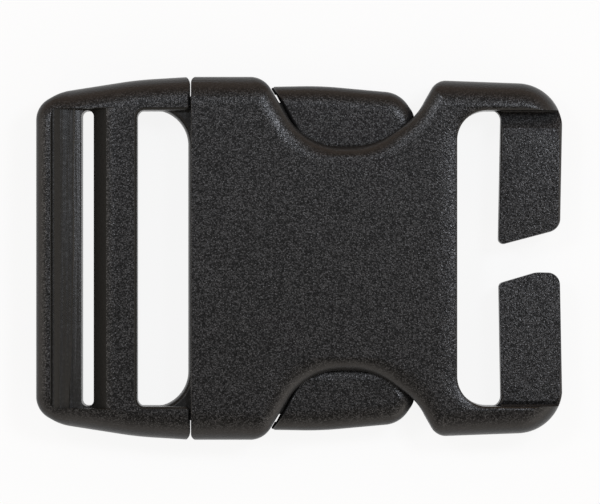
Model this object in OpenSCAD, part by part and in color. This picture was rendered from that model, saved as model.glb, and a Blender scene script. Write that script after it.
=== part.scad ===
// Side release buckle in two moulded halves, shown fastened.
// The plug carries a webbing adjuster, two latch arms with buttons and a centre tongue.
// The socket is a hollow shell with finger windows and a webbing loop whose bar is split.
// X runs from the plug's end to the socket's end, Y across the webbing, Z up from the back.

/* [Webbing] */
// Width of the webbing that both halves take
webbing_w = 50; // [38:1:60]
// Room between the webbing's edge and each end of a slot
webbing_room = 0.65; // [0.3:0.05:1.5]

/* [Plug frame] */
// Width of the outer bar, along the buckle
outer_bar_w = 7.9; // [6.5:0.1:11]
// Width of the lip that stands up along the outer bar
lip_w = 2.8; // [1.8:0.1:3.6]
// Depth of the grip face below the lip, where it starts
lip_step = 0.8; // [0.3:0.1:1.4]
// How far the grip face falls on its way to the grip slot
grip_fall = 1.5; // [0.5:0.1:2.5]
// Width of the narrow slot that the webbing is gripped in
grip_slot_w = 2.1; // [1.5:0.1:3.5]
// Width of the middle bar, along the buckle
middle_bar_w = 7.5; // [5:0.1:10]
// Width of the steep face on the middle bar, seen from above
steep_face_w = 1.7; // [0.8:0.1:3]
// Height of the steep face on the middle bar
steep_face_h = 3.2; // [1.5:0.1:4.5]
// Thickness of the middle bar
middle_bar_t = 6.4; // [5:0.1:8]
// Depth of the hollow under the outer bar
outer_bar_hollow = 1.4; // [0.5:0.1:3]
// Width of the wide slot that the webbing is fed through
feed_slot_w = 8.75; // [6:0.05:12]
// Radius of the corners at the ends of the rails
rail_end_r = 1; // [0.5:0.1:2]
// Radius of the gussets between rails and crossbar
gusset_r = 6.1; // [2:0.1:7]
// Width of the frame's rails beside the middle bar
frame_mid_rail_w = 5.35; // [4.5:0.05:6.5]
// Width of the frame's rails at the far end
frame_end_rail_w = 3.3; // [2.8:0.1:5]
// Length of the frame's outer corners, along the buckle
frame_corner_l = 4.4; // [3:0.1:6]
// Width of the frame's outer corners, across the buckle
frame_corner_w = 2.5; // [1.5:0.1:4]
// Radius where such a corner meets its rail and its bar
frame_corner_r = 5; // [3:0.1:7]
// Thickness of the frame
frame_t = 11.8; // [10.5:0.1:12.4]
// Length of the crossbar, along the buckle
crossbar_l = 5.4; // [3.5:0.1:7]

/* [Socket shell] */
// Thickness of the shell, which is that of the buckle
shell_t = 12.6; // [12.4:0.1:15]
// Width of the side rails where the two halves meet
rail_w = 5.9; // [5:0.1:7.5]
// Length of the shell, from the mouth to the webbing loop
shell_l = 46.2; // [44:0.1:54]
// Thickness of the front and back panels
panel_t = 2.3; // [1.8:0.1:2.8]
// Thickness of the collar's side walls
collar_wall = 3; // [2:0.1:3.6]
// Radius of the shell's corners beside the mouth
mouth_r = 1.2; // [0.5:0.1:2]
// Length of the collar at its outer edge
collar_l = 12.6; // [10:0.1:15]
// Radius of the collar's corners beside the windows
collar_r = 4.2; // [2:0.1:5]
// Depth of the cavity, from the mouth
cavity_l = 40.4; // [39:0.1:42]

/* [Finger windows] */
// Length of a window between the outer corners of collar and shoulder
window_l = 29.9; // [28:0.1:31]
// Depth of a window below the collar's outer edge
window_depth = 12; // [9:0.1:13]
// Radius of the window's round edge
window_r = 12; // [7:0.5:14]
// How far the window's edge runs in from the collar's corner
window_lead = 7.3; // [4:0.1:9]
// Distance from the shoulder's corner at which the window's edge starts to rise
window_turn = 10.6; // [9:0.1:12]
// How far the steep part of the window's edge runs out to the shoulder's corner
window_run = 3.6; // [3:0.1:5]
// How far the window's edge has risen where the steep part starts
window_rise = 5.1; // [3:0.1:6]
// Radius of the shoulders' corners
shoulder_r = 2.8; // [1.5:0.1:4]
// Width of the scoop along the window's edge
scoop_w = 2.2; // [1:0.1:2.8]
// Depth of the scoop at the window's edge
scoop_drop = 1.6; // [0.6:0.1:1.7]

/* [Webbing loop] */
// Width of the loop's slot, along the buckle
loop_slot_w = 7.6; // [5:0.1:10]
// Radius of the slot's corners beside the shell
loop_slot_r = 5.2; // [2:0.1:7]
// Width of the loop's rails at the shoulder
loop_rail_w = 5.3; // [3.8:0.05:5.6]
// Width of the loop's rails at the end
loop_end_rail_w = 4.5; // [3.6:0.05:5.2]
// Radius of the loop's outer corners, seen from above
loop_corner_r = 8; // [5:0.1:9]
// Width of the split bar, along the buckle
split_bar_w = 10.75; // [9:0.05:14]
// Thickness of the split bar
split_bar_t = 6; // [4:0.1:8]
// Gap between the two hooks of the split bar
split_gap = 6.3; // [4.6:0.1:9]
// Slant of that gap
split_angle = 14; // [0:1:20]
// How far the middle of that gap lies off the buckle's middle line
split_offset = 0.3; // [-2:0.1:2]
// Radius of each hook's outer corner beside that gap
hook_tip_r = 2.5; // [1:0.1:4]
// How far the hooks lean in towards that gap, along the buckle
hook_lean = 0.5; // [0:0.05:1]

/* [Latch arms] */
// Width of an arm where it leaves the crossbar
arm_root_w = 5.4; // [3.5:0.1:6.5]
// Width of an arm where it meets its button
arm_end_w = 4.4; // [3:0.1:5.5]
// Thickness of an arm
arm_t = 5.6; // [4:0.1:7]
// How far an arm leans in between root and button
arm_lean = 1.4; // [0.8:0.1:2.2]
// Length of a button, from the latch edge to its round end
button_l = 25.2; // [23:0.1:25.6]
// How far a button's side bulges beyond its latch edge
button_bulge = 0.15; // [0:0.05:0.5]
// How far a button's side lies inside the collar's side
button_inset = 1.7; // [0.8:0.1:2.4]
// Width of a button across its thickest place
button_w = 12.6; // [10:0.1:13.4]
// How far a button's side falls away towards its round end
button_fall = 1.1; // [0:0.1:2]
// Length of a button's slanted end, along the buckle
slant_l = 3; // [2:0.1:4.5]
// Width of that slanted end, across the buckle
slant_w = 4.3; // [3:0.1:6.5]
// Radius of a button's round corners
button_r = 3.2; // [1:0.1:4.5]
// Radius where a button's side turns into its slanted end
button_turn_r = 5.2; // [2:0.1:6]
// Reach of the edge rounding along a button's side
button_edge_in = 2.6; // [1:0.1:3.2]
// Drop of that rounding
button_edge_drop = 2.2; // [1:0.1:3]
// Width of the latch face, across the buckle
latch_face_w = 7.5; // [5:0.1:9]
// Slant of the latch face, measured from the buckle's length
latch_angle = 62; // [50:1:80]
// Gap between the latch face and the collar
latch_gap = 0.4; // [0.3:0.05:1.2]

/* [Tongue and guide walls] */
// Width of the tongue
tongue_w = 16; // [8:0.5:18]
// Length of the tongue beyond the crossbar
tongue_l = 28; // [15:0.5:32]
// Thickness of the tongue's rim
tongue_rim = 2.4; // [1.2:0.1:3]
// Thickness of the web inside that rim
tongue_web = 2; // [1:0.1:3]
// Thickness of each guide wall
guide_wall = 1.8; // [1:0.1:2.2]
// Length of each guide wall
guide_l = 26; // [10:0.5:28]
// Room between the tongue and a guide wall
guide_room = 0.35; // [0.2:0.05:0.8]

/* [Fits and edges] */
// Gap between the end faces of the two halves
end_gap = 0.2; // [0.1:0.05:0.5]
// Gap between the plug and each panel
panel_gap = 0.2; // [0.1:0.05:0.4]
// Gap between the plug's base and the collar's side walls
side_gap = 0.4; // [0.2:0.05:0.8]
// How much of the crossbar shows beside the mouth
crossbar_shows = 0.4; // [0.1:0.05:0.6]
// Reach of the large outer edge rounding
edge_in = 3.6; // [2:0.1:4]
// Drop of the large outer edge rounding
edge_drop = 3.3; // [1.5:0.1:3.6]
// Radius of the small edges
small_edge = 0.9; // [0.3:0.1:1.2]
// Radius of the fine edges
fine_edge = 0.35; // [0.2:0.05:0.5]

/* [Hidden] */

// Largest angle between two points of a round corner
arc_step = 16;
// Number of steps in the rounding of an edge
edge_steps = 4;
// Length by which a cutter runs past what it cuts
past = 5;
// Depth by which joined forms reach into each other
bite = 0.4;
// Distance by which a form that trims an end stays off the other faces
clear = 0.03;
// Radius that spreads a slight bulge along a whole side
bulge_r = 60;

// Edge roundings: how far each reaches in, and how far it drops
large = [edge_in, edge_drop];
small = [small_edge, small_edge];
fine = [fine_edge, fine_edge];
lip_edge = [2 * small_edge, 2 * small_edge];
button_edge = [button_edge_in, button_edge_drop];
scoop = [scoop_w, scoop_drop];
flare = [-small_edge, small_edge];
fine_flare = [-fine_edge, fine_edge];

// Places along the buckle, from the plug's end to the socket's end
total_l = outer_bar_w + grip_slot_w + middle_bar_w + feed_slot_w + crossbar_shows + end_gap
    + shell_l + loop_slot_w + split_bar_w;
x_end = -total_l / 2;
x_grip_slot = x_end + outer_bar_w;
x_middle_bar = x_grip_slot + grip_slot_w;
x_feed_slot = x_middle_bar + middle_bar_w;
x_crossbar = x_feed_slot + feed_slot_w;
x_rail_end = x_crossbar + crossbar_shows;
x_root = x_crossbar + crossbar_l;
x_mouth = x_rail_end + end_gap;
x_collar = x_mouth + collar_l;
x_shoulder = x_collar + window_l;
x_cavity = x_mouth + cavity_l;
x_loop = x_mouth + shell_l;
x_split_bar = x_loop + loop_slot_w;
x_tip = x_split_bar + split_bar_w;

// Half widths across the webbing
slot_half = webbing_w / 2 + webbing_room;
body_half = slot_half + rail_w;
frame_mid_half = slot_half + frame_mid_rail_w;
frame_end_half = slot_half + frame_end_rail_w;
shoulder_half = slot_half + loop_rail_w;
loop_end_half = slot_half + loop_end_rail_w;
waist_half = body_half - window_depth;
cavity_half = body_half - collar_wall;
base_half = cavity_half - side_gap;
button_half = body_half - button_inset;
guide_half = tongue_w / 2 + guide_room;

// Latch edge and latch foot of a button: the edge lies beside the collar's slanted end
x_latch = x_collar + latch_gap + button_inset * window_lead / window_depth;
x_latch_foot = x_latch + latch_face_w / tan(latch_angle);
x_button_end = x_latch + button_l;

// Heights above and below the middle plane
z_mid = shell_t / 2;
cavity_h = z_mid - panel_t;
fit_h = cavity_h - panel_gap;
frame_h = frame_t / 2;

function unit(v) = v / norm(v);
function lerp(a, b, t) = a + (b - a) * t;

// An outline is a list of rows [x, y, corner radius, edge], anticlockwise.
// The edge belongs to the side that leaves the corner.
// This closes a half outline, y > 0, with its mirror image.
function both_sides(half, closing_edge) = concat(
    half,
    [for (i = [len(half) - 1 : -1 : 0])
        [half[i][0], -half[i][1], half[i][2], i > 0 ? half[i - 1][3] : closing_edge]]
);

// Outward normal of the side from a to b
function normal(a, b) = let (along = unit([b[0] - a[0], b[1] - a[1]])) [along[1], -along[0]];

// Where corner b goes when its two sides move in by in_a and in_c: [x, y]
function inset(a, b, c, in_a, in_c) =
    let (n_a = normal(a, b), n_c = normal(b, c), det = cross(n_a, n_c))
    [b[0], b[1]] - [in_a * n_c[1] - in_c * n_a[1], n_a[0] * in_c - n_c[0] * in_a] / det;

// How many steps the round corner b between a and c takes
function corner_steps(a, b, c) =
    max(2, ceil(acos(normal(a, b) * normal(b, c)) / arc_step));

// Points of the round corner b between a and c: [x, y, share of the way round].
// The arc is at most as long as half a side.
function corner(a, b, c, radius, steps) =
    let (
        to_a = a - b,
        to_c = c - b,
        half_angle = acos(unit(to_a) * unit(to_c)) / 2,
        turn = sign(cross(-to_a, to_c)),
        reach = min(radius / tan(half_angle), 0.49 * norm(to_a), 0.49 * norm(to_c)),
        r = reach * tan(half_angle),
        centre = b + unit(unit(to_a) + unit(to_c)) * r / sin(half_angle),
        first = atan2(to_a[0], -to_a[1]) + (turn < 0 ? 180 : 0),
        sweep = turn * (180 - 2 * half_angle)
    )
    [for (i = [0 : steps])
        let (angle = first + sweep * i / steps)
        [each (centre + r * [cos(angle), sin(angle)]), i / steps]];

// The outline's points where the edge rounding stands at an angle: 90 is the wall, 0 the
// flat face. Each point is [x, y, z]; side is 1 on the front and -1 on the back.
function ring(rows, h, angle, side) =
    let (
        n = len(rows),
        in = [for (r = rows) r[3][0] * (1 - sin(angle))],
        drop = [for (r = rows) r[3][1] * (1 - cos(angle))],
        corners = [
            for (i = [0 : n - 1])
                let (j = (i + n - 1) % n)
                inset(rows[j], rows[i], rows[(i + 1) % n], in[j], in[i])
        ]
    )
    [for (i = [0 : n - 1])
        let (
            j = (i + n - 1) % n,
            k = (i + 1) % n,
            convex = cross(normal(rows[j], rows[i]), normal(rows[i], rows[k])) > 0,
            change = (in[j] + in[i]) / 2,
            radius = convex ? max(fine_edge / 2, rows[i][2] - change) : rows[i][2] + change,
            steps = corner_steps(rows[j], rows[i], rows[k])
        )
        for (p = corner(corners[j], corners[i], corners[k], radius, steps))
            [p[0], p[1], z_mid + side * (h - lerp(drop[j], drop[i], p[2]))]];

// Faces over rings of n points each. The flat ends are strips between the point i from
// the outline's start and the point i from its end.
module skin(rings) {
    n = len(rings[0]);
    sides = [
        for (k = [0 : len(rings) - 2], i = [0 : n - 1])
            let (j = (i + 1) % n, low = k * n, high = low + n)
            each [[low + i, high + i, high + j], [low + i, high + j, low + j]]
    ];
    top = (len(rings) - 1) * n;
    flats = [
        for (i = [0 : ceil(n / 2) - 2])
            let (j = n - 1 - i, face = i + 2 == j ? [i, i + 1, j] : [i, i + 1, j - 1, j])
            each [face, [for (k = [len(face) - 1 : -1 : 0]) top + face[k]]]
    ];
    polyhedron([for (r = rings) each r], concat(sides, flats), convexity = 8);
}

// A plate about the middle plane with rounded edges
module slab(rows, h) {
    angles = [for (k = [0 : edge_steps]) 90 * k / edge_steps];
    skin(concat(
        [for (a = angles) ring(rows, h, a, -1)],
        [for (k = [edge_steps : -1 : 0]) ring(rows, h, angles[k], 1)]
    ));
}

// A cutter that opens a slab and leaves rounded edges: its ends flare out and run past
module opening(rows, h) {
    angles = [for (k = [1 : edge_steps]) 90 * k / edge_steps];
    skin(concat(
        [[for (p = ring(rows, h, 0, -1)) p - [0, 0, past]]],
        [for (a = angles) ring(rows, h, a, -1)],
        [for (k = [edge_steps - 1 : -1 : 0]) ring(rows, h, angles[k], 1)],
        [[for (p = ring(rows, h, 0, 1)) p + [0, 0, past]]]
    ));
}

// A plain plate about the middle plane
module plate(rows, h) {
    translate([0, 0, z_mid - h])
        linear_extrude(2 * h)
            polygon([for (p = ring(rows, h, 90, 1)) [p[0], p[1]]]);
}

// A profile in X and Z carried across the buckle, between -half_l and half_l
module across(points, half_l) {
    translate([0, half_l, z_mid])
        rotate([90, 0, 0])
            linear_extrude(2 * half_l)
                polygon(points);
}

module pair() {
    children();
    mirror([0, 1, 0]) children();
}

// Frame of the plug before its slots: rails, bars and lip in one plate
module frame_blank() {
    widening = past * (body_half - frame_mid_half) / (x_rail_end - x_feed_slot);
    intersection() {
        slab(both_sides([
            [x_rail_end + past, body_half + widening, rail_end_r, large],
            [x_feed_slot, frame_mid_half, bulge_r, large],
            [x_end + frame_corner_l, frame_end_half, frame_corner_r, large],
            [x_end, frame_end_half - frame_corner_w, frame_corner_r, lip_edge]
        ], large), frame_h);
        // Trims the rails to length
        slab(both_sides([
            [x_rail_end, body_half + clear, rail_end_r, fine],
            [x_end - past, body_half + 2 * past, rail_end_r, fine]
        ], small), frame_h + clear);
    }
}

// The wide slot, open towards the crossbar
module feed_slot() {
    opening(both_sides([
        [x_rail_end + past, slot_half, small_edge, flare],
        [x_feed_slot, slot_half, small_edge, fine_flare]
    ], flare), frame_h);
}

// The narrow slot with round ends
module grip_slot() {
    r = grip_slot_w / 2;
    length = 2 * (slot_half - r);
    for (end = [-1, 1])
        translate([x_grip_slot + r, end * length / 2, z_mid - frame_h])
            cylinder(h = frame_t, r = r, $fn = 32);
    translate([x_grip_slot, -length / 2, z_mid - frame_h])
        cube([grip_slot_w, length, frame_t]);
}

// The webbing's path over the bars: grip face, slot and the steep face of the middle bar
module webbing_trough() {
    x_lip = x_end + lip_w;
    x_steep = x_middle_bar + steep_face_w;
    across([
        [x_lip, frame_h - lip_step],
        [x_grip_slot, frame_h - lip_step - grip_fall],
        [x_middle_bar, frame_h - steep_face_h],
        [x_steep + steep_face_w, frame_h + steep_face_h],
        [x_lip, frame_h + steep_face_h]
    ], slot_half + fine_edge);
}

// The hollow under the bars, between the rails
module underside() {
    x_lip = x_end + lip_w;
    x_between = x_grip_slot + grip_slot_w / 2;
    outer_low = -frame_h + outer_bar_hollow;
    middle_low = frame_h - middle_bar_t;
    across([
        [x_lip, -frame_h - past],
        [x_rail_end + past, -frame_h - past],
        [x_rail_end + past, middle_low],
        [x_between, middle_low],
        [x_between, outer_low],
        [x_lip, outer_low]
    ], slot_half);
}

// Crossbar, gussets and tongue in one plate that fits the mouth
module plug_base() {
    x_gusset = x_crossbar - 2.1 * gusset_r;
    gusset_half = slot_half + bite / 4;
    difference() {
        plate(both_sides([
            [x_root + tongue_l, tongue_w / 2 - small_edge, 2 * small_edge, fine],
            [x_root, tongue_w / 2, 2 * small_edge, fine],
            [x_root, base_half, fine_edge, fine],
            [x_gusset, base_half, fine_edge, fine],
            [x_gusset, gusset_half, fine_edge, fine],
            [x_crossbar, gusset_half, gusset_r, fine]
        ], fine), fit_h);
        for (side = [-1, 1])
            tongue_pocket(side);
    }
}

// The pocket in the tongue's front or back, which leaves a rim and a thin web
module tongue_pocket(side) {
    half = tongue_w / 2 - tongue_rim;
    length = tongue_l - 2 * tongue_rim;
    middle = tongue_web / 2 + fit_h / 2;
    translate([x_root + tongue_rim, -half, z_mid + side * middle - fit_h / 2])
        cube([length, 2 * half, fit_h]);
}

// Flexible arm from the crossbar to the button
module arm() {
    x_far = x_latch_foot + 2 * bite;
    plate([
        [x_root - bite, base_half, fine_edge, fine],
        [x_root - bite, base_half - arm_root_w, fine_edge, fine],
        [x_far, base_half - arm_lean - arm_end_w, fine_edge, fine],
        [x_far, base_half - arm_lean, fine_edge, fine]
    ], arm_t / 2);
}

// Button: D-shaped head of an arm, with the latch face at its left
module button() {
    low = button_half - button_w;
    high = button_half - button_fall;
    slab([
        [x_latch, button_half, fine_edge, fine],
        [x_latch_foot, button_half - latch_face_w, small_edge, fine],
        [x_latch_foot + slant_l, low, button_r, fine],
        [x_button_end - slant_l, low, button_r, fine],
        [x_button_end, high - slant_w, button_r, lip_edge],
        [x_button_end - slant_l, high, button_turn_r, button_edge],
        [x_latch + button_l / 3, button_half + button_bulge, bulge_r, button_edge]
    ], fit_h);
}

module plug() {
    color("#2e2e2d") {
        difference() {
            frame_blank();
            feed_slot();
            grip_slot();
            webbing_trough();
            underside();
        }
        plug_base();
        pair() {
            arm();
            button();
        }
    }
}

// Outer form of the socket: collar, waist, shoulders and loop in one plate
module shell_blank() {
    intersection() {
        shell_plate();
        // Trims the collar to length
        slab(both_sides([
            [x_tip + past, body_half + past, mouth_r, fine],
            [x_mouth, body_half + clear, mouth_r, fine]
        ], fine), z_mid + clear);
    }
}

// The same form with a collar that is too long
module shell_plate() {
    slab(both_sides([
        [x_tip, loop_end_half, loop_corner_r, large],
        [x_shoulder, shoulder_half, shoulder_r, scoop],
        [x_shoulder - window_run, waist_half + window_rise, window_r, scoop],
        [x_shoulder - window_turn, waist_half, window_r, scoop],
        [x_collar + window_lead, waist_half, window_r, scoop],
        [x_collar, body_half, collar_r, large],
        [x_mouth - past, body_half, mouth_r, large]
    ], large), z_mid);
}

// The loop's slot and all beyond it between the rails
module loop_opening() {
    opening(both_sides([
        [x_tip + past, slot_half, small_edge, flare],
        [x_loop, slot_half, loop_slot_r, flare]
    ], flare), z_mid);
}

// One hook of the split bar; side 1 is the hook at y > 0
module hook(side) {
    lean = side * tan(split_angle);
    end_y = split_gap / 2 / cos(split_angle) + side * split_offset;
    x_half = (x_split_bar + x_tip) / 2;
    keep_half = slot_half + bite;
    // Two corners stand in for the loop's round one and keep the hook just inside it
    rows = [
        [x_tip - hook_lean, end_y + lean * (x_tip - x_half), hook_tip_r, small],
        [x_tip, loop_end_half - 0.84 * loop_corner_r, loop_corner_r, small],
        [x_tip - 0.275 * loop_corner_r, loop_end_half - 0.27 * loop_corner_r, small_edge, small],
        [x_split_bar, loop_end_half - 0.27 * loop_corner_r, small_edge, small],
        [x_split_bar - hook_lean, end_y + lean * (x_split_bar - x_half), small_edge, small]
    ];
    intersection() {
        mirror([0, side > 0 ? 0 : 1, 0]) slab(rows, split_bar_t / 2);
        translate([x_split_bar - past, -keep_half, 0])
            cube([split_bar_w + 2 * past, 2 * keep_half, shell_t]);
    }
}

// The cavity that takes the plug, open at the mouth and through the windows
module cavity() {
    plate(both_sides([
        [x_cavity, cavity_half, 2 * small_edge, fine],
        [x_mouth - past, cavity_half, fine_edge, fine]
    ], fine), cavity_h);
}

// A wall between the panels that guides the tongue
module guide() {
    x_guide = x_root + 3 * small_edge;
    translate([x_guide, guide_half, z_mid - cavity_h - bite])
        cube([guide_l, guide_wall, 2 * (cavity_h + bite)]);
}

module socket() {
    color("#2f2f2f") {
        difference() {
            shell_blank();
            loop_opening();
            cavity();
        }
        pair() guide();
        hook(1);
        hook(-1);
    }
}

plug();
socket();
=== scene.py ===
"""A side release buckle, fastened and lying on its back: the looks of its two mouldings.

Each moulding is built from rings of points. A ring follows a plan outline, and a stack of rings
follows the profile of the edge. Slots, windows and hollows are opened with surfaces of the same
kind, whose ends flare so that the rims come out rounded. An outline is a table of rows (x, y,
corner radius, edge rounding of the side that follows). Sizes are in millimetres, and a mesh turns
them into metres.
"""

import math

import bpy
import numpy as np
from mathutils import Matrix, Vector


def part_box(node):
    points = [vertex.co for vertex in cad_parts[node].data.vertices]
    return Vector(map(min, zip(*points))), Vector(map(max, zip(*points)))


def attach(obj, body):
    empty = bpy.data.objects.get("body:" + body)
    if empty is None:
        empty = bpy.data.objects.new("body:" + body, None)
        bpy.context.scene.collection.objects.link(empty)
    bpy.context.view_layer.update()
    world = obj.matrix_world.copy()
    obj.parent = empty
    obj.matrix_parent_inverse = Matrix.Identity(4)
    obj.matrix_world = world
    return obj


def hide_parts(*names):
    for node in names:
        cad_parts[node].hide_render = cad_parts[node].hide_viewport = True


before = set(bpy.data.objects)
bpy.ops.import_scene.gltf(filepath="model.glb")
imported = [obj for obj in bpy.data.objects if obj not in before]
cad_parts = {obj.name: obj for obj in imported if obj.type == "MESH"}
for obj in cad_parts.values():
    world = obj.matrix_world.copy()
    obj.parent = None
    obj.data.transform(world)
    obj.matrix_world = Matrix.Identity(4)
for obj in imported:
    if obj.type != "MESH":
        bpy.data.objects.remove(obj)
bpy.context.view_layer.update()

# Sizes

MM = 0.001
PHOTO_MM_PER_PIXEL = 0.174
PHOTO_SIZE = (600, 504)
PHOTO_CENTRE = (299.5, 258.3)
CAMERA_DISTANCE = 1.1


def corners_mm(node):
    """Lowest and highest corner of a CAD node in millimetres."""
    low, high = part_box(node)
    return np.array(low) / MM, np.array(high) / MM


plug_low, plug_high = corners_mm("plug")
socket_low, socket_high = corners_mm("socket")

WEBBING = 50.0
SLOT_HALF = WEBBING / 2 + 0.65
Z_MID = socket_high[2] / 2
SHELL_H = socket_high[2] - Z_MID
FRAME_H = plug_high[2] - Z_MID
BODY_HALF = socket_high[1]
PANEL = 2.3
CAVITY_H = SHELL_H - PANEL
FIT_H = CAVITY_H - 0.2
WINDOW_DEPTH = 12.0
WINDOW_LEAD = 7.3
BUTTON_INSET = 1.7

# Places along the buckle
X_END = plug_low[0]
X_LIP = X_END + 2.8
X_GRIP_SLOT = X_END + 7.9
X_MIDDLE_BAR = X_GRIP_SLOT + 2.1
X_STEEP = X_MIDDLE_BAR + 2.25
X_FEED_SLOT = X_MIDDLE_BAR + 7.5
X_CROSSBAR = X_FEED_SLOT + 8.75
X_MOUTH = socket_low[0]
X_RAIL_END = X_MOUTH - 0.2
X_ROOT = X_CROSSBAR + 5.4
X_COLLAR = X_MOUTH + 12.6
X_SHOULDER = X_COLLAR + 29.9
X_CAVITY = X_MOUTH + 40.4
X_LOOP = X_MOUTH + 46.2
X_SPLIT_BAR = X_LOOP + 7.6
X_TIP = X_SPLIT_BAR + 10.75

# Half widths across the webbing
FRAME_MID_HALF = SLOT_HALF + 5.35
FRAME_END_HALF = SLOT_HALF + 3.3
SHOULDER_HALF = SLOT_HALF + 5.3
LOOP_END_HALF = SLOT_HALF + 4.5
WAIST_HALF = BODY_HALF - WINDOW_DEPTH
CAVITY_HALF = BODY_HALF - 3.0
BASE_HALF = CAVITY_HALF - 0.4
BUTTON_HALF = BODY_HALF - BUTTON_INSET
TONGUE_HALF = 8.0

# Edge roundings: how far each reaches in, and how far it drops. A negative reach flares a cutter.
LARGE = (4.2, 3.4)
RAIL = (4.5, 3.5)
COLLAR = (5.0, 3.6)
FRAME_CORNER = (3.8, 2.2)
LIP = (2.5, 1.8)
BUTTON = (3.6, 2.4)
BUTTON_END = (3.0, 1.9)
# The two buttons differ in the photo: 1 is the upper one and -1 the lower one
BUTTON_INNER = {1: (2.6, 1.6), -1: (4.0, 3.5)}
BUTTON_NOSE = {1: (2.4, 2.2), -1: (3.0, 3.0)}
SLANT = (0.7, 1.6)
HOOK_END = (1.1, 0.7)
SMALL = (0.6, 0.6)
FINE = (0.3, 0.3)
SCOOP = (3.6, 1.8)
SCOOP_ARC = (2.5, 2.8)
SLOT_RIM = (0.8, 2.0)
FLARE = (-0.6, 0.6)
LOOP_FLARE = (-0.9, 0.4)
PANEL_FLARE = (-4.2, 0.42)
BAR_FLARE = (-0.6, 0.9)
FINE_FLARE = (-0.35, 0.35)
BULGE = 60.0

CORNER_POINTS = 24
EDGE_STEPS = 10
LEAST_RADIUS = 0.12
# How far a cutter runs past what it cuts, a joined form runs into the next, and a trim stays off
PAST = 5.0
BITE = 0.4
CLEAR = 0.03
PARTING_LINE = 0.05
# (how far the line stands out, height above the middle plane)
PARTING_PROFILE = ((0, -0.12), (PARTING_LINE, -0.03), (PARTING_LINE, 0.03), (0, 0.12))
# Degrees between two faces from which their edge is shaded sharp
SHARP_ANGLE = 25


# Surfaces


def mirrored(rows, closing):
    """The rows of the same form at the other side of the buckle, still anticlockwise.

    The closing edge belongs to the side that leads to the first of the given rows.
    """
    edges = [closing, *(row[3] for row in rows[:-1])]
    return [(x, -y, radius, edge) for (x, y, radius, _), edge in zip(rows[::-1], edges[::-1])]


def both_sides(half, closing):
    """Rows of a whole outline from those with y > 0, which run from high x to low x."""
    return half + mirrored(half, closing)


def outline(rows, reach):
    """The outline through rounded corners, once every side has moved in by its own reach.

    A corner lies where its two moved sides cross. Its arc is centred on the bisector and turns
    from one side's normal to the other's; it takes at most half of each side. Gives the points
    and, for each, the share of the way round its corner.
    """
    table = np.array([row[:3] for row in rows], float)
    xy, radius = table[:, :2], table[:, 2]
    along = np.roll(xy, -1, 0) - xy
    along /= np.linalg.norm(along, axis=1, keepdims=True)
    after = np.stack([along[:, 1], -along[:, 0]], 1)
    before = np.roll(after, 1, 0)
    in_after, in_before = reach, np.roll(reach, 1)
    crossing = before[:, 0] * after[:, 1] - before[:, 1] * after[:, 0]
    shift_x = in_before * after[:, 1] - in_after * before[:, 1]
    shift_y = before[:, 0] * in_after - after[:, 0] * in_before
    corner = xy - np.stack([shift_x, shift_y], 1) / crossing[:, None]
    turn = np.arctan2(crossing, (before * after).sum(1))
    change = (in_before + in_after) / 2
    radius = np.where(turn > 0, np.maximum(radius - change, LEAST_RADIUS), radius + change)
    side = np.linalg.norm(np.roll(corner, -1, 0) - corner, axis=1)
    room = 0.49 * np.minimum(side, np.roll(side, 1))
    half_turn = np.tan(np.abs(turn) / 2)
    radius = np.sign(turn) * np.minimum(radius * half_turn, room) / half_turn
    bisector = (before + after) / np.linalg.norm(before + after, axis=1, keepdims=True)
    centre = corner - bisector * (radius / np.cos(turn / 2))[:, None]
    share = np.linspace(0, 1, CORNER_POINTS)
    angle = np.arctan2(before[:, 1], before[:, 0])[:, None] + turn[:, None] * share
    spoke = np.stack([np.cos(angle), np.sin(angle)], -1)
    points = centre[:, None] + radius[:, None, None] * spoke
    return points.reshape(-1, 2), np.tile(share, len(rows))


def ring(rows, angle, side, half_t, proud=0.0):
    """One ring of a plate about the middle plane, where the edge rounding stands at an angle.

    At 90 degrees the ring lies on the wall, and at 0 on the flat face. A side has moved in by
    reach * (1 - sin) and dropped by drop * (1 - cos); the drop blends round the corners. Walls
    stay in by the parting line's height, so that the line itself comes out at the table's sizes.
    """
    reach = np.array([row[3][0] for row in rows]) * (1 - math.sin(angle)) + PARTING_LINE - proud
    drop = np.array([row[3][1] for row in rows]) * (1 - math.cos(angle))
    points, share = outline(rows, reach)
    before = np.repeat(np.roll(drop, 1), CORNER_POINTS)
    after = np.repeat(drop, CORNER_POINTS)
    height = half_t - (before + (after - before) * share)
    return np.column_stack([points, Z_MID + side * height])


def plate_rings(rows, half_t):
    """Rings of a plate with rounded edges and a fine parting line round its middle."""
    angles = np.linspace(0, math.pi / 2, EDGE_STEPS + 1)
    back = [ring(rows, a, -1, half_t) for a in angles]
    line = [level(ring(rows, math.pi / 2, 1, 0, proud), z) for proud, z in PARTING_PROFILE]
    front = [ring(rows, a, 1, half_t) for a in angles[::-1]]
    return np.stack(back + line + front)


def level(points, z):
    """The same ring, laid flat at a height above the middle plane."""
    return np.column_stack([points[:, :2], np.full(len(points), Z_MID + z)])


def opening_rings(rows, half_t):
    """Rings of a cutter whose ends flare, so that the rim that it leaves is rounded."""
    angles = np.linspace(0, math.pi / 2, EDGE_STEPS + 1)
    back = [ring(rows, a, -1, half_t, PARTING_LINE) for a in angles[1:]]
    front = [ring(rows, a, 1, half_t, PARTING_LINE) for a in angles[-2:0:-1]]
    beyond = [ring(rows, 0, side, half_t, PARTING_LINE) + (0, 0, side * PAST) for side in (-1, 1)]
    return np.stack([beyond[0]] + back + front + [beyond[1]])


def straight_rings(rows, low, high):
    """Rings of a plain prism between two heights above the middle plane."""
    flat = ring(rows, math.pi / 2, 1, 0, PARTING_LINE)
    return np.stack([level(flat, low), level(flat, high)])


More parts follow.
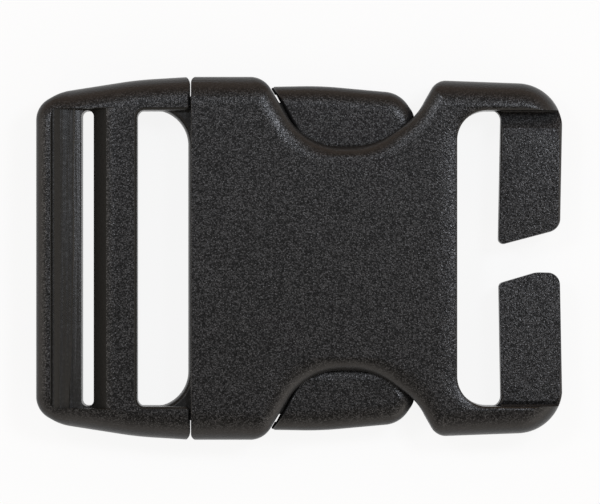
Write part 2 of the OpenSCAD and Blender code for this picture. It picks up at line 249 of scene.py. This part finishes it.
def box_rings(low, high):
    """Rings of a plain block between two corners, heights above the middle plane."""
    x, y = (low[0], high[0], high[0], low[0]), (low[1], low[1], high[1], high[1])
    flat = np.column_stack([x, y, np.zeros(4)])
    return np.stack([level(flat, low[2]), level(flat, high[2])])


def section_area(y, z):
    """Signed area of a section: above zero when it runs anticlockwise, y to the right."""
    return (y * np.roll(z, -1) - z * np.roll(y, -1)).sum() / 2


# Meshes


def solid(name, rings, material):
    """A closed mesh over a stack of rings, with flat faces at both ends.

    Seen from where the stack is heading, each ring runs anticlockwise.
    """
    count, around = rings.shape[:2]
    index = np.arange(count * around).reshape(count, around)
    ahead = np.roll(index, -1, 1)
    quads = np.stack([index[:-1], ahead[:-1], ahead[1:], index[1:]], -1).reshape(-1, 4)
    faces = quads.tolist() + [index[0, ::-1].tolist(), index[-1].tolist()]
    mesh = bpy.data.meshes.new(name)
    mesh.from_pydata((rings.reshape(-1, 3) * MM).tolist(), [], faces)
    mesh.materials.append(material)
    piece = bpy.data.objects.new(name, mesh)
    bpy.context.scene.collection.objects.link(piece)
    return piece


def bar_along_x(name, y, z, span):
    """A prism along X over a section, heights above the middle plane."""
    if section_area(y, z) < 0:
        y, z = y[::-1], z[::-1]
    rings = [np.column_stack([np.full(len(y), x), y, Z_MID + z]) for x in span]
    return solid(name, np.stack(rings), textured)


def slope_cutter(start, end, height, drop, span):
    """A wedge that takes a flat face down from no depth at y = start to a drop at y = end."""
    z = np.array([height, height - drop, height + PAST])
    return bar_along_x("slope", np.array([start, end, end]), z, span)


def combine(piece, operation, *others):
    """Joins, cuts or intersects a piece with others, which are used up."""
    for other in others:
        step = piece.modifiers.new("combine", "BOOLEAN")
        step.operation = operation
        step.solver = "MANIFOLD"
        step.material_mode = "TRANSFER"
        step.object = other
    bpy.context.view_layer.update()
    mesh = bpy.data.meshes.new_from_object(piece.evaluated_get(bpy.context.evaluated_depsgraph_get()))
    piece.modifiers.clear()
    piece.data = mesh
    for other in others:
        bpy.data.objects.remove(other)
    return piece


def second_finish(piece, material, test):
    """Gives another material to the faces that pass a test on their centres and normals."""
    faces = piece.data.polygons
    centre, normal = np.empty(3 * len(faces)), np.empty(3 * len(faces))
    faces.foreach_get("center", centre)
    faces.foreach_get("normal", normal)
    chosen = test(centre.reshape(-1, 3) / MM, normal.reshape(-1, 3))
    index = np.empty(len(faces), np.int32)
    faces.foreach_get("material_index", index)
    piece.data.materials.append(material)
    index[chosen] = len(piece.data.materials) - 1
    faces.foreach_set("material_index", index)


def finish_surface(piece, body, node):
    """Smooth shading that keeps real edges, with flat faces kept flat."""
    piece.data.name = piece.name
    piece.data.shade_smooth()
    piece.data.set_sharp_from_angle(angle=math.radians(SHARP_ANGLE))
    even = piece.modifiers.new("flat faces stay flat", "WEIGHTED_NORMAL")
    even.keep_sharp = True
    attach(piece, body)
    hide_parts(node)


# Materials


def linear(hex_colour):
    """An sRGB hex colour as the linear colour that a shader takes."""
    parts = np.array([int(hex_colour[i:i + 2], 16) for i in (1, 3, 5)]) / 255
    curve = np.where(parts <= 0.04045, parts / 12.92, ((parts + 0.055) / 1.055) ** 2.4)
    return (*curve.tolist(), 1.0)


def add(tree, kind, settings=None, **links):
    """Adds a node with its settings and links. A link is an input's name with a socket."""
    node = tree.nodes.new(kind)
    for name, value in (settings or {}).items():
        if name in node.inputs:
            node.inputs[name].default_value = value
        else:
            setattr(node, name, value)
    for name, source in links.items():
        tree.links.new(source, node.inputs[name.replace("_", " ")])
    return node


ACETAL_IOR = 1.7
# Distance from a dome's middle, in dome widths, at its foot and at its top
DOME_FOOT, DOME_TOP = 0.75, 0.15
# The share of light that the domes catch on average, which the painted sparkle falls back to where it
# fades out
MEAN_CATCH = 0.3
# A normal's share of Z where the painted sparkle has faded out, and where it is full
SPARKLE_FADED, SPARKLE_FULL = 0.84, 0.97
LEAST_SPARKLE = 0.2
# Width of the gentle waves, in dome widths
WAVE_WIDTH = 1.4


def moulded_acetal(name, crevice_painted_shade, crown, shine, roughness, grain, relief):
    """Black acetal, injection moulded: a hard, slightly waxy plastic with a low gloss.

    Spark erosion leaves small craters in the mould, so the part carries small domes side by
    side. The domes are not shaped: their sparkle is painted into the base colour and the
    specular tint. Each dome top gets a painted glint of its own strength, and the crevices
    between them get painted shade, so a flat face sparkles evenly. The painted sparkle fades to
    an even mean where the surface turns away from the flat. Real domes are near 0.1 mm wide;
    they are drawn at the width, in millimetres, at which they show here. Gentler waves break up
    the highlights.
    """
    material = bpy.data.materials.new(name)
    material.use_nodes = True
    tree = material.node_tree
    tree.nodes.clear()
    where = add(tree, "ShaderNodeTexCoord")
    place = where.outputs["Object"]
    domes = add(tree, "ShaderNodeTexVoronoi", {"Scale": 1 / (grain * MM)}, Vector=place)
    height = add(
        tree, "ShaderNodeMapRange", {"From Min": DOME_FOOT, "From Max": DOME_TOP},
        Value=domes.outputs["Distance"],
    )
    chance = add(tree, "ShaderNodeSeparateColor", Color=domes.outputs["Color"])
    catch = add(tree, "ShaderNodeMath", {"operation": "MULTIPLY"})
    tree.links.new(height.outputs["Result"], catch.inputs[0])
    tree.links.new(chance.outputs["Red"], catch.inputs[1])
    facing = add(tree, "ShaderNodeSeparateXYZ", Vector=where.outputs["Normal"])
    flat = add(tree, "ShaderNodeMath", {"operation": "ABSOLUTE"})
    tree.links.new(facing.outputs["Z"], flat.inputs[0])
    full_sparkle_share = add(
        tree, "ShaderNodeMapRange",
        {"From Min": SPARKLE_FADED, "From Max": SPARKLE_FULL, "To Min": LEAST_SPARKLE},
        Value=flat.outputs["Value"],
    )
    sparkle = add(
        tree, "ShaderNodeMix", {"data_type": "FLOAT", "A": MEAN_CATCH},
        Factor=full_sparkle_share.outputs["Result"], B=catch.outputs["Value"],
    ).outputs["Result"]
    # Painted sparkle: the base colour runs from painted shade in the crevices to a painted glint on
    # each dome top
    colour = add(tree, "ShaderNodeMix", {"data_type": "RGBA"}, Factor=sparkle)
    colour.inputs["A"].default_value = linear(crevice_painted_shade)
    colour.inputs["B"].default_value = linear(crown)
    # The specular tint follows the same painted sparkle
    gloss = add(
        tree, "ShaderNodeMapRange", {"To Min": shine[0], "To Max": shine[1]}, Value=sparkle,
    )
    waves = add(
        tree, "ShaderNodeTexNoise", {"Scale": 1 / (WAVE_WIDTH * grain * MM), "Detail": 1.0},
        Vector=place,
    )
    bump = add(
        tree, "ShaderNodeBump", {"Strength": 1.0, "Distance": relief * MM},
        Height=waves.outputs["Fac"],
    )
    shader = add(
        tree, "ShaderNodeBsdfPrincipled", {"Roughness": roughness, "IOR": ACETAL_IOR},
        Normal=bump.outputs["Normal"],
    )
    tree.links.new(colour.outputs["Result"], shader.inputs["Base Color"])
    tree.links.new(gloss.outputs["Result"], shader.inputs["Specular Tint"])
    add(tree, "ShaderNodeOutputMaterial", Surface=shader.outputs["BSDF"])
    return material


# The outside of both mouldings: a fine, even sparkle, painted into the colour as glints on the dome
# tops and shade in the crevices
textured = moulded_acetal(
    "spark-eroded acetal with painted sparkle", "#070707", "#333334", (0.17, 1.0), 0.34, 0.23, 0.04,
)
# Walls, hollows and the grip face, left plain by the mould: an even sheen
smooth = moulded_acetal(
    "smooth moulded acetal", "#121211", "#161615", (0.20, 0.34), 0.36, 0.6, 0.02,
)
# Faces that the webbing runs over, rubbed to a brighter sheen
polished = moulded_acetal(
    "acetal rubbed by the webbing", "#121211", "#161615", (0.38, 0.58), 0.32, 0.4, 0.02,
)


# Plug


# The feed slot's edges lie a little nearer the mouth in the photo than its width makes them
SLOT_SHIFT = 0.1
# How much further out the rails stand at PAST beyond their ends, at the slope that they have
RAIL_WIDENING = 0.3
OUTER_BAR_FOOT = 1.4
MIDDLE_BAR_T = 6.4


def frame_moulding():
    """The plug's frame: rails, lip, grip face, bars and slots in one plate.

    The rails are made too long, and trimmed by a plate whose edge rounds off their ends.
    """
    rows = both_sides([
        (X_RAIL_END + PAST, BODY_HALF + RAIL_WIDENING, 1.0, RAIL),
        (X_FEED_SLOT, FRAME_MID_HALF, BULGE, RAIL),
        (X_END + 4.4, FRAME_END_HALF, 9.0, FRAME_CORNER),
        (X_END, FRAME_END_HALF - 2.5, 4.6, LIP),
    ], RAIL)
    trim = both_sides([
        (X_RAIL_END, BODY_HALF + CLEAR, 1.5, FINE),
        (X_END - PAST, BODY_HALF + PAST, 1.0, FINE),
    ], SMALL)
    body = solid("plug_moulding", plate_rings(rows, FRAME_H), textured)
    combine(body, "INTERSECT", solid("trim", plate_rings(trim, FRAME_H + CLEAR), textured))
    feed = both_sides([
        (X_RAIL_END + PAST, BODY_HALF + PAST, 0.9, FLARE),
        (X_RAIL_END + SLOT_SHIFT, BODY_HALF + PAST, 0.9, FLARE),
        (X_RAIL_END + SLOT_SHIFT, SLOT_HALF, 0.9, FLARE),
        (X_FEED_SLOT + SLOT_SHIFT, SLOT_HALF, 1.3, BAR_FLARE),
    ], FLARE)
    grip = both_sides([
        (X_MIDDLE_BAR, SLOT_HALF, 1.04, FINE_FLARE),
        (X_GRIP_SLOT, SLOT_HALF, 1.04, FINE_FLARE),
    ], FINE_FLARE)
    return combine(
        body, "DIFFERENCE",
        solid("feed slot", opening_rings(feed, FRAME_H), smooth),
        solid("underside", underside_rings(), smooth),
        webbing_trough(),
        solid("grip slot", opening_rings(grip, FRAME_H), smooth),
    )


def underside_rings():
    """The hollow under the bars: a step in X and Z, carried across between the rails."""
    outer_low, middle_low = OUTER_BAR_FOOT - FRAME_H, FRAME_H - MIDDLE_BAR_T
    between = (X_GRIP_SLOT + X_MIDDLE_BAR) / 2
    x = np.array([X_LIP, X_RAIL_END + PAST, X_RAIL_END + PAST, between, between, X_LIP])
    z = np.array([-FRAME_H - PAST, -FRAME_H - PAST, middle_low, middle_low, outer_low, outer_low])
    return np.stack([
        np.column_stack([x, np.full(len(x), y), Z_MID + z]) for y in (SLOT_HALF, -SLOT_HALF)
    ])


GRIP_PROFILE = (
    # (distance from the lip, height): groove, ridge, steep part, grip face, ledge, landing
    (0.0, -0.42), (0.12, -0.30), (0.28, -0.27), (0.5, -0.36), (1.4, -1.0), (3.45, -1.75),
    (3.65, -1.88), (5.4, -2.15),
)
# The ledge: distance from the lip, length over which its wandering dies out, drift along Y
LEDGE_PLACE, LEDGE_WIDTH, LEDGE_DRIFT = 3.5, 0.9, 0.02
# (size, length over which its phase turns by one radian, phase)
LEDGE_WAVES = ((0.16, 8.3, 2.0), (0.08, 3.1, 0.4), (0.03, 1.1, 1.0))
GRIP_STREAKS = (
    # (distance from the lip, width, height, phase)
    (1.3, 0.16, 0.03, 0.3),
    (1.9, 0.10, -0.03, 1.9),
    (2.5, 0.14, 0.03, 4.1),
    (3.0, 0.09, -0.03, 2.7),
    (4.3, 0.12, -0.025, 0.9),
    (4.8, 0.08, 0.02, 5.2),
)
# (size, length over which its phase turns by one radian, times that a streak's phase counts)
STREAK_WAVES = ((0.06, 6.0, 1), (0.03, 1.7, 2))
# (length over which a streak's strength turns by one radian, times that its phase counts)
STREAK_FADE = (9.0, 3)
# Rise per millimetre of the middle bar's face
STEEP_SLOPE = 0.95
CROWN_DROP, CROWN_LENGTH, CROWN_TOP = 0.32, 2.0, 0.012


def trough_floor(x, y):
    """Height of the webbing's path over the bars, below the frame's face.

    Over the grip face it follows the profile's points in straight steps, and the ledge near
    the slot drifts and wavers along the webbing. Streaks are bell-shaped ridges or grooves
    that waver too, and fade in and out. Past the grip slot the floor climbs the steep face of
    the middle bar, then rounds off over the bar's top on a parabola that ends just above the
    face, so that the cut runs out there.
    """
    across = x - X_LIP
    waver = LEDGE_DRIFT * y
    for size, length, phase in LEDGE_WAVES:
        waver = waver + size * np.sin(y / length + phase)
    moved = across - waver * np.exp(-(((across - LEDGE_PLACE) / LEDGE_WIDTH) ** 2))
    grip = np.interp(moved, *zip(*GRIP_PROFILE))
    fade_length, fade_turns = STREAK_FADE
    for place, width, height, phase in GRIP_STREAKS:
        middle = place
        for size, length, turns in STREAK_WAVES:
            middle = middle + size * np.sin(y / length + turns * phase)
        strength = np.sin(y / fade_length + fade_turns * phase)
        grip = grip + height * strength * np.exp(-(((across - middle) / width) ** 2))
    beyond = x - X_STEEP
    crown = CROWN_TOP - CROWN_DROP * (1 - np.clip(beyond, 0, None) / CROWN_LENGTH) ** 2
    bar = crown + STEEP_SLOPE * np.clip(beyond, None, 0)
    return np.where(x < (X_GRIP_SLOT + X_MIDDLE_BAR) / 2, grip, bar)


TROUGH_ROOM = 0.3
TROUGH_SECTIONS = 260


def webbing_trough():
    """The room above the bars: a flared opening, kept only above the trough's floor."""
    half, end = SLOT_HALF + TROUGH_ROOM, X_STEEP + CROWN_LENGTH
    rows = both_sides([
        (end, half, 0.5, FINE_FLARE),
        (X_LIP, half, 0.5, FINE_FLARE),
    ], FINE_FLARE)
    room = solid("trough", opening_rings(rows, FRAME_H), smooth)
    x = np.concatenate([np.linspace(*stretch) for stretch in (
        # (from, to, points)
        (X_LIP - PAST, X_LIP - 0.3, 3),
        (X_LIP, X_GRIP_SLOT + 0.2, 90),
        (X_MIDDLE_BAR - 0.4, X_STEEP - 0.05, 12),
        (X_STEEP, end, 24),
    )])
    y = np.linspace(SLOT_HALF + PAST, -SLOT_HALF - PAST, TROUGH_SECTIONS)
    x_grid, y_grid = np.meshgrid(x, y)
    floor = np.dstack([x_grid, y_grid, Z_MID + FRAME_H + trough_floor(x_grid, y_grid)])
    lid = np.dstack([
        *np.meshgrid([end, X_LIP - PAST], y), np.full((len(y), 2), Z_MID + FRAME_H + PAST),
    ])
    above = solid("above the floor", np.concatenate([floor, lid], 1), smooth)
    landing = X_LIP + LEDGE_PLACE + 0.2, X_GRIP_SLOT + 0.4
    second_finish(
        above, polished,
        lambda centre, _: (centre[:, 0] > landing[0]) & (centre[:, 0] < landing[1]),
    )
    second_finish(above, textured, lambda centre, _: centre[:, 0] > X_STEEP)
    return combine(room, "INTERSECT", above)


TONGUE_L = 28.0
TONGUE_RIM = 2.4
TONGUE_WEB = 2.0
GUSSET_R = 6.1
TIGHT_R = 0.35


def base_moulding():
    """Crossbar with its gussets, and the pocketed tongue."""
    x_gusset = X_CROSSBAR - 2.1 * GUSSET_R
    inner = SLOT_HALF + SLOT_SHIFT
    rows = both_sides([
        (X_ROOT + TONGUE_L, TONGUE_HALF - 0.9, 1.8, FINE),
        (X_ROOT, TONGUE_HALF, 1.8, FINE),
        (X_ROOT, BASE_HALF, TIGHT_R, FINE),
        (x_gusset, BASE_HALF, TIGHT_R, FINE),
        (x_gusset, inner, TIGHT_R, SLOT_RIM),
        (X_CROSSBAR + SLOT_SHIFT, inner, GUSSET_R, SLOT_RIM),
    ], FINE)
    base = solid("base", plate_rings(rows, FIT_H), smooth)
    low = X_ROOT + TONGUE_RIM, TONGUE_RIM - TONGUE_HALF
    high = X_ROOT + TONGUE_L - TONGUE_RIM, TONGUE_HALF - TONGUE_RIM
    pockets = [
        solid("pocket", box_rings((*low, z), (*high, z + FIT_H)), smooth)
        for z in (TONGUE_WEB / 2, -TONGUE_WEB / 2 - FIT_H)
    ]
    return combine(base, "DIFFERENCE", *pockets)


LATCH_GAP = 0.4
LATCH_FACE_W = 7.5
LATCH_ANGLE = 62
BUTTON_L = 25.2
ARM_T = 5.6
CATCH_T = 2.4


def latch_arm(side):
    """A latch arm with its button, at y > 0 when side is 1.

    The button's slanted face stands beside the collar's end, and a catch fills part of the slit.
    """
    latch = X_COLLAR + LATCH_GAP + BUTTON_INSET * WINDOW_LEAD / WINDOW_DEPTH
    foot = latch + LATCH_FACE_W / math.tan(math.radians(LATCH_ANGLE))
    end = latch + BUTTON_L
    low, high = BUTTON_HALF - 12.6, BUTTON_HALF - 1.1
    arm = [
        (X_ROOT - BITE, BASE_HALF, TIGHT_R, FINE),
        (X_ROOT - BITE, BASE_HALF - 5.4, TIGHT_R, FINE),
        (foot + 0.8, BASE_HALF - 5.8, TIGHT_R, FINE),
        (foot + 0.8, BASE_HALF - 1.4, TIGHT_R, FINE),
    ]
    button = [
        (latch, BUTTON_HALF, TIGHT_R, SLANT),
        (foot, BUTTON_HALF - LATCH_FACE_W, 0.9, SLANT),
        (foot + 3.2, low, 3.2, BUTTON_INNER[side]),
        (end - 3.0, low, 3.2, BUTTON_NOSE[side]),
        (end, high - 4.3, 3.2, BUTTON_END),
        (end - 3.0, high, 5.2, BUTTON),
        (latch + 8.4, BUTTON_HALF + 0.15, BULGE, BUTTON),
    ]
    catch = [
        (X_COLLAR + 1.24, BUTTON_HALF - 0.2, 0.2, FINE),
        (X_COLLAR + 1.96, BUTTON_HALF - 1.4, 0.2, FINE),
        (X_COLLAR + 2.9, BUTTON_HALF - 1.4, 0.2, FINE),
        (X_COLLAR + 2.2, BUTTON_HALF - 0.2, 0.2, FINE),
    ]
    if side < 0:
        arm, button, catch = (mirrored(rows, rows[-1][3]) for rows in (arm, button, catch))
    head = solid("button", plate_rings(button, FIT_H), textured)
    return combine(
        head, "UNION", solid("arm", plate_rings(arm, ARM_T / 2), smooth),
        solid("catch", straight_rings(catch, -CATCH_T / 2, CATCH_T / 2), smooth),
    )


def plug_moulding():
    """The whole plug in one surface."""
    return combine(frame_moulding(), "UNION", base_moulding(), latch_arm(1), latch_arm(-1))


# Socket


# The shoulders' corners lie a little nearer the tip in the photo than the window's length says
SHOULDER_SHIFT = 0.15
WINDOW_RUN, WINDOW_RISE, WINDOW_TURN = 3.45, 5.1, 10.6
WINDOW_R = 12.0
MOUTH_R = 1.2


def shell_blank(name):
    """The shell before it is hollowed: collar, windows, shoulders and loop in one plate.

    The collar is made too long, and trimmed by a plate whose edge rounds off the mouth. A
    window's edge rises in two steps towards the shoulder.
    """
    rows = both_sides([
        (X_TIP, LOOP_END_HALF, 8.0, RAIL),
        (X_SHOULDER + SHOULDER_SHIFT, SHOULDER_HALF, 2.8, SCOOP),
        (X_SHOULDER - WINDOW_RUN, WAIST_HALF + WINDOW_RISE, WINDOW_R, SCOOP),
        (X_SHOULDER - WINDOW_TURN, WAIST_HALF, WINDOW_R, SCOOP_ARC),
        (X_COLLAR + WINDOW_LEAD, WAIST_HALF, WINDOW_R, SCOOP),
        (X_COLLAR, BODY_HALF, 4.2, COLLAR),
        (X_MOUTH - PAST, BODY_HALF, MOUTH_R, COLLAR),
    ], LARGE)
    trim = both_sides([
        (X_TIP + PAST, BODY_HALF + PAST, 1.0, FINE),
        (X_MOUTH, BODY_HALF + CLEAR, MOUTH_R, FINE),
    ], FINE)
    blank = solid(name, plate_rings(rows, SHELL_H), textured)
    return combine(
        blank, "INTERSECT", solid("trim", plate_rings(trim, SHELL_H + CLEAR), textured),
    )


# A normal's least share of Z where the loop's flare still counts as part of the panel
PANEL_FACING = 0.93


def shell_moulding():
    """The hollow shell with the open loop."""
    loop = both_sides([
        (X_TIP + PAST, SLOT_HALF, 0.9, LOOP_FLARE),
        (X_LOOP, SLOT_HALF, 5.2, PANEL_FLARE),
    ], LOOP_FLARE)
    cavity = both_sides([
        (X_CAVITY, CAVITY_HALF, 1.8, FINE),
        (X_MOUTH - PAST, CAVITY_HALF, TIGHT_R, FINE),
    ], FINE)
    opening = solid("loop", opening_rings(loop, SHELL_H), polished)
    second_finish(opening, textured, lambda _, normal: np.abs(normal[:, 2]) > PANEL_FACING)
    return combine(
        shell_blank("socket_moulding"), "DIFFERENCE", opening,
        solid("cavity", straight_rings(cavity, -CAVITY_H, CAVITY_H), smooth),
    )


HOOK_H = 3.0
# How far a hook reaches along its rail, and how deep its faces there hide in the rail's wall
HOOK_TAIL, HOOK_SINK = 3.8, 0.05
# The two hooks differ in the photo: 1 is the upper one and -1 the lower one
HOOK_ENDS = {
    # (place from the bar's inner edge, distance from the middle, corner radius)
    1: ((10.35, 5.05, 2.4), (-0.45, 2.2, 0.9)),
    -1: ((10.3, 2.5, 2.7), (6.1, 2.45, 4.0), (-0.35, 4.35, 0.9)),
}
# (length, drop at the rail) of the slope at a hook's root, then the front's fall to the gap
ROOT_SLOPES = {1: (3.1, 1.05), -1: (0.9, 0.3)}
FACE_SLOPES = {1: 0.012, -1: 0.04}
ROOT_FILLET = 0.6


def root_fillet(side):
    """A hollow quarter round between a hook's front and the wall of its rail."""
    wall, foot = SLOT_HALF + HOOK_SINK, HOOK_H - ROOT_SLOPES[side][1]
    turn = np.linspace(0, math.pi / 2, 9)
    y = np.concatenate([
        [wall + BITE, wall + BITE], wall - ROOT_FILLET * (1 - np.cos(turn)), [wall - ROOT_FILLET],
    ])
    z = np.concatenate([
        [foot - 1, foot + ROOT_FILLET], foot + ROOT_FILLET * (1 - np.sin(turn)), [foot - 1],
    ])
    return bar_along_x("root fillet", side * y, z, (X_SPLIT_BAR, X_TIP + PAST))


def hook(side):
    """One hook of the split bar, at y > 0 when side is 1. It leans in towards the slanted gap."""
    beyond = LOOP_END_HALF + PAST
    end = [(X_SPLIT_BAR + x, y, radius, SMALL) for x, y, radius in HOOK_ENDS[side]]
    rows = [
        (*end[0][:3], HOOK_END),
        (X_TIP, SLOT_HALF, BULGE, HOOK_END),
        (X_TIP, beyond, 0.9, SMALL),
        (X_SPLIT_BAR - HOOK_TAIL, beyond, 0.9, SMALL),
        (X_SPLIT_BAR - HOOK_TAIL, SLOT_HALF + HOOK_SINK, 0.3, SMALL),
        (X_SPLIT_BAR, SLOT_HALF + HOOK_SINK, 1.7, SMALL),
        *end[:0:-1],
    ]
    if side < 0:
        rows = mirrored(rows, rows[-1][3])
    bar = solid("hook", plate_rings(rows, HOOK_H), textured)
    length, drop = ROOT_SLOPES[side]
    top, span = SLOT_HALF - length, (X_LOOP, X_TIP + PAST)
    down = slope_cutter(
        side * top, side * (SLOT_HALF + PAST), HOOK_H, drop * (1 + PAST / length), span,
    )
    to_gap = slope_cutter(side * top, 0, HOOK_H, FACE_SLOPES[side] * top, span)
    combine(bar, "DIFFERENCE", down, to_gap)
    combine(bar, "UNION", root_fillet(side))
    keep = SLOT_HALF + BITE
    reach = box_rings((X_SPLIT_BAR - PAST, -keep, -PAST), (X_TIP + PAST, keep, PAST))
    return combine(
        bar, "INTERSECT", solid("reach", reach, textured), shell_blank("outer form"),
    )


GUIDE_INSET, GUIDE_L = 2.7, 26.0
GUIDE_ROOM, GUIDE_WALL = 0.35, 1.8


def guide(side):
    """A wall between the panels that guides the tongue."""
    near = TONGUE_HALF + GUIDE_ROOM
    inner, outer = sorted((side * near, side * (near + GUIDE_WALL)))
    x_guide, height = X_ROOT + GUIDE_INSET, CAVITY_H + BITE
    wall = box_rings((x_guide, inner, -height), (x_guide + GUIDE_L, outer, height))
    return solid("guide", wall, smooth)


def socket_moulding():
    """The whole socket in one surface."""
    return combine(shell_moulding(), "UNION", guide(1), guide(-1), hook(1), hook(-1))


finish_surface(plug_moulding(), "root", "plug")
finish_surface(socket_moulding(), "root", "socket")


# Stage


FLOOR_HALF = 1.5
FLOOR_GLOW = 0.885


def lit_floor():
    """A plain pale table top, lit through from below so that shadows stay faint."""
    material = bpy.data.materials.new("pale table top")
    material.use_nodes = True
    tree = material.node_tree
    shader = tree.nodes["Principled BSDF"]
    shader.inputs["Base Color"].default_value = linear("#505050")
    shader.inputs["Roughness"].default_value = 0.9
    shader.inputs["Specular IOR Level"].default_value = 0.0
    shader.inputs["Emission Color"].default_value = linear("#ffffff")
    shader.inputs["Emission Strength"].default_value = FLOOR_GLOW
    mesh = bpy.data.meshes.new("floor")
    corners = [(x * FLOOR_HALF, y * FLOOR_HALF, 0) for x, y in ((-1, -1), (1, -1), (1, 1), (-1, 1))]
    mesh.from_pydata(corners, [], [(0, 1, 2, 3)])
    mesh.materials.append(material)
    floor = bpy.data.objects.new("floor", mesh)
    bpy.context.scene.collection.objects.link(floor)


def soft_light(name, place, size, power, colour):
    """A rectangular soft box that faces the buckle."""
    data = bpy.data.lights.new(name, "AREA")
    data.shape = "RECTANGLE"
    data.size, data.size_y = size
    data.energy = power
    data.color = linear(colour)[:3]
    light = bpy.data.objects.new(name, data)
    light.location = place
    light.rotation_euler = (-light.location).to_track_quat("-Z", "Y").to_euler()
    bpy.context.scene.collection.objects.link(light)


COOL, WARM = "#eef4ff", "#fff8f0"
SOFT_BOXES = (
    # (name, place and size in metres, power in watts, colour)
    ("key", (0.18, 0.12, 0.46), (0.10, 0.10), 0.95, COOL),
    ("second key", (-0.16, 0.13, 0.46), (0.08, 0.08), 0.49, COOL),
    ("rail light", (-0.06, 0.21, 0.46), (0.08, 0.08), 0.10, COOL),
    ("left", (-0.50, 0.05, 0.45), (0.35, 0.35), 0.50, WARM),
    ("right", (0.46, -0.29, 0.35), (0.80, 0.40), 1.0, WARM),
)
ROOM_WHITE, WALL_BROWN = "#fff4e8", "#c8a686"
# A direction's share of Y where the brown wall begins, and where nothing else is left
WALL_BEGINS, WALL_FILLS = 0.25, 0.85
HORIZON_GLOW, OVERHEAD_GLOW = 1.12, 0.26


def studio():
    """Soft boxes in a white room that is dim overhead and brightest at the horizon.

    Small ones above the far side give the sparkle, and wide ones at the left and the right fill
    the slopes. A warm brown wall stands beyond the far side.
    """
    for box in SOFT_BOXES:
        soft_light(*box)
    world = bpy.data.worlds.new("room")
    world.use_nodes = True
    tree = world.node_tree
    where = add(tree, "ShaderNodeTexCoord").outputs["Generated"]
    split = add(tree, "ShaderNodeSeparateXYZ", Vector=where)
    climb = add(tree, "ShaderNodeMath", {"operation": "MULTIPLY"})
    tree.links.new(split.outputs["Z"], climb.inputs[0])
    tree.links.new(split.outputs["Z"], climb.inputs[1])
    height = add(
        tree, "ShaderNodeMapRange", {"To Min": HORIZON_GLOW, "To Max": OVERHEAD_GLOW},
        Value=climb.outputs["Value"],
    )
    wall = add(
        tree, "ShaderNodeMapRange", {"From Min": WALL_BEGINS, "From Max": WALL_FILLS},
        Value=split.outputs["Y"],
    )
    colour = add(
        tree, "ShaderNodeMix",
        {"data_type": "RGBA", "A": linear(ROOM_WHITE), "B": linear(WALL_BROWN)},
    )
    tree.links.new(wall.outputs["Result"], colour.inputs["Factor"])
    background = tree.nodes["Background"]
    tree.links.new(colour.outputs["Result"], background.inputs["Color"])
    tree.links.new(height.outputs["Result"], background.inputs["Strength"])
    bpy.context.scene.world = world
    bpy.context.scene.view_settings.view_transform = "Standard"


def photo_camera():
    """A camera straight above that frames the photo, true to size at the middle plane."""
    data = bpy.data.cameras.new("camera")
    width = PHOTO_SIZE[0] * PHOTO_MM_PER_PIXEL * MM
    data.lens = data.sensor_width * CAMERA_DISTANCE / width
    camera = bpy.data.objects.new("camera", data)
    off_x = (PHOTO_SIZE[0] / 2 - PHOTO_CENTRE[0]) * PHOTO_MM_PER_PIXEL * MM
    off_y = (PHOTO_CENTRE[1] - PHOTO_SIZE[1] / 2) * PHOTO_MM_PER_PIXEL * MM
    camera.location = (off_x, off_y, Z_MID * MM + CAMERA_DISTANCE)
    bpy.context.scene.collection.objects.link(camera)
    bpy.context.scene.camera = camera


lit_floor()
studio()
photo_camera()
